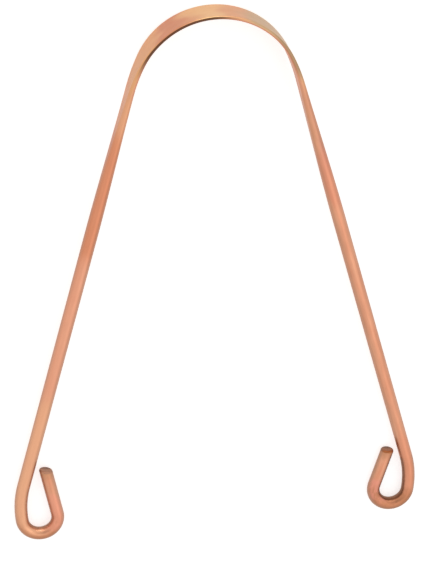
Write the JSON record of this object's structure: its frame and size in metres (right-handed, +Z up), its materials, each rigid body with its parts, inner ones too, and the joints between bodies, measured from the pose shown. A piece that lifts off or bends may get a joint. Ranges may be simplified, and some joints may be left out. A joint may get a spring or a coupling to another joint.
{
  "type": "tongue scraper",
  "caption": "U-shaped copper tongue scraper: a rod flattened into an arched blade, with straight round arms that end in teardrop loops bent inwards.",
  "frame": {"origin": "on the table, under the middle of the part's length and width as it lies flat", "axes": "+Y from the loops towards the arch, +X towards the right loop, +Z up, square to the table"},
  "size_m": [0.095, 0.1264, 0.0088],
  "materials": {
    "copper": "bare copper, satin, drawn lengthwise, lightly mottled, darker at the sheared ends"
  },
  "bodies": {
    "root": {"blade_crown": "copper", "left_blade_side": "copper", "right_blade_side": "copper", "left_shoulder": "copper", "right_shoulder": "copper", "left_arm": "copper", "right_arm": "copper", "left_lead_bend": "copper", "right_lead_bend": "copper", "left_eye": "copper", "right_eye": "copper", "left_tail": "copper", "right_tail": "copper"}
  },
  "joints": []
}
